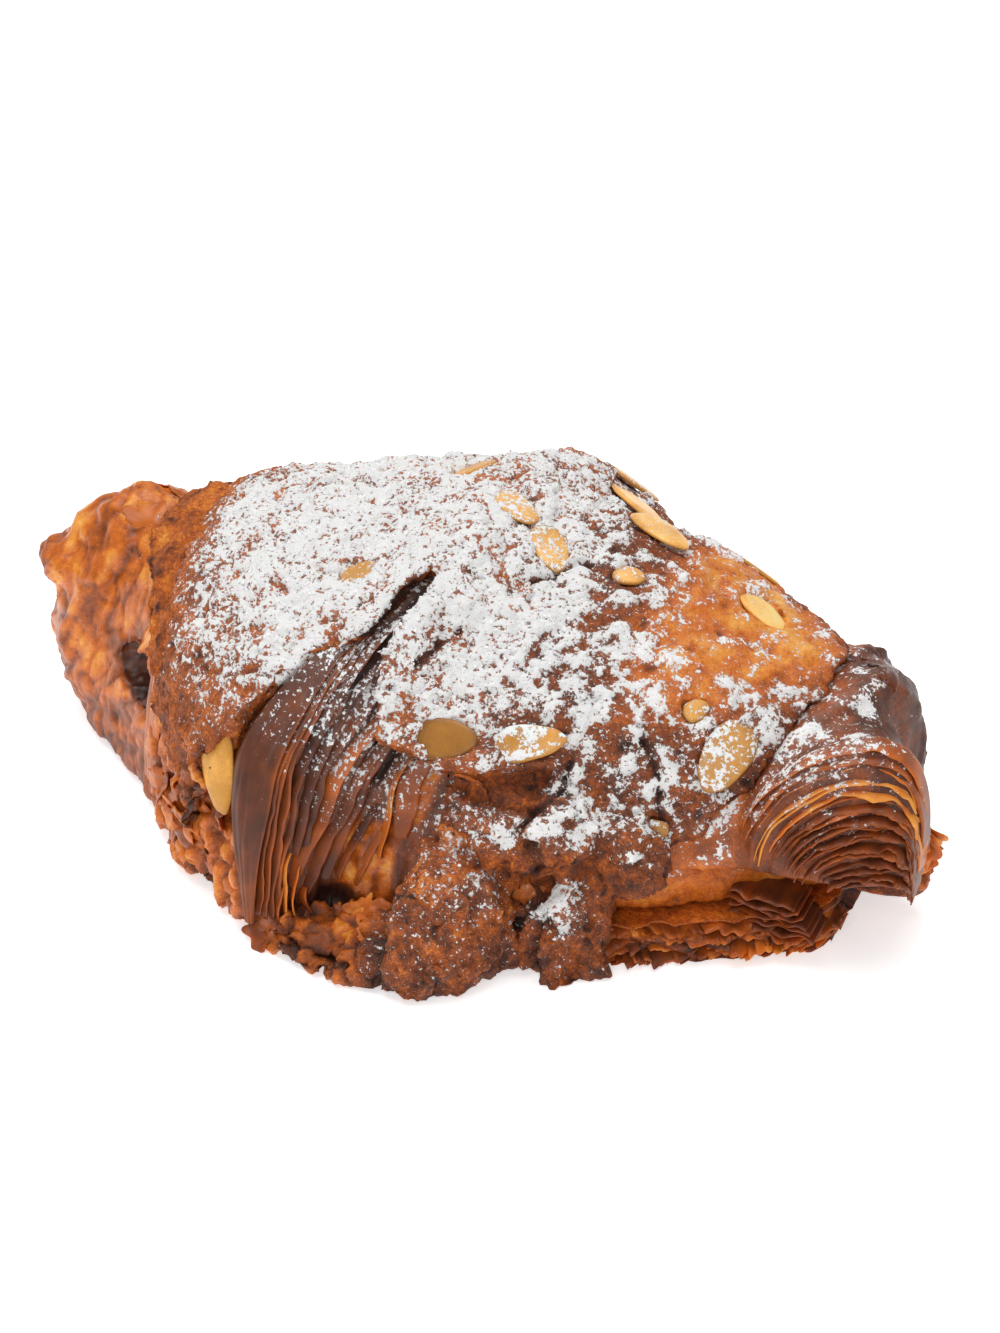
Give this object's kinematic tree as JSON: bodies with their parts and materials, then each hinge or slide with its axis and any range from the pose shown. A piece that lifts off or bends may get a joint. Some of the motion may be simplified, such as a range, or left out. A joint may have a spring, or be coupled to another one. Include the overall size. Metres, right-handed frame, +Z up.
{
  "type": "almond croissant",
  "caption": "Baked almond croissant: a laminated croissant cut level, filled with almond cream, with an almond crust, flaked almonds and a layered horn at one end.",
  "frame": {"origin": "under the middle of the whole croissant, on the floor it rests on", "axes": "+X along the croissant from the left lobe to the layered horn, +Y to the back, +Z up"},
  "size_m": [0.1672, 0.1106, 0.0602],
  "materials": {
    "lower_pastry": "flaky dark brown baked pastry, matte",
    "almond_cream": "porous brown baked almond cream, matte",
    "upper_pastry": "caramel brown glazed pastry, satin, darker along the layers",
    "almond_crust": "golden brown baked almond cream dusted with icing sugar, matte",
    "almond_slice": "toasted golden almond, satin"
  },
  "bodies": {
    "root": {"croissant_base": "lower_pastry", "almond_cream": "almond_cream", "croissant_top": "upper_pastry", "almond_crust": "almond_crust", "almond_slice_01": "almond_slice", "almond_slice_02": "almond_slice", "almond_slice_03": "almond_slice", "almond_slice_04": "almond_slice", "almond_slice_05": "almond_slice", "almond_slice_06": "almond_slice", "almond_slice_07": "almond_slice", "almond_slice_08": "almond_slice", "almond_slice_09": "almond_slice", "almond_slice_10": "almond_slice", "almond_slice_11": "almond_slice", "almond_slice_12": "almond_slice", "almond_slice_13": "almond_slice", "almond_slice_14": "almond_slice", "almond_slice_15": "almond_slice", "almond_slice_16": "almond_slice", "almond_slice_17": "almond_slice", "almond_slice_18": "almond_slice"}
  },
  "joints": []
}
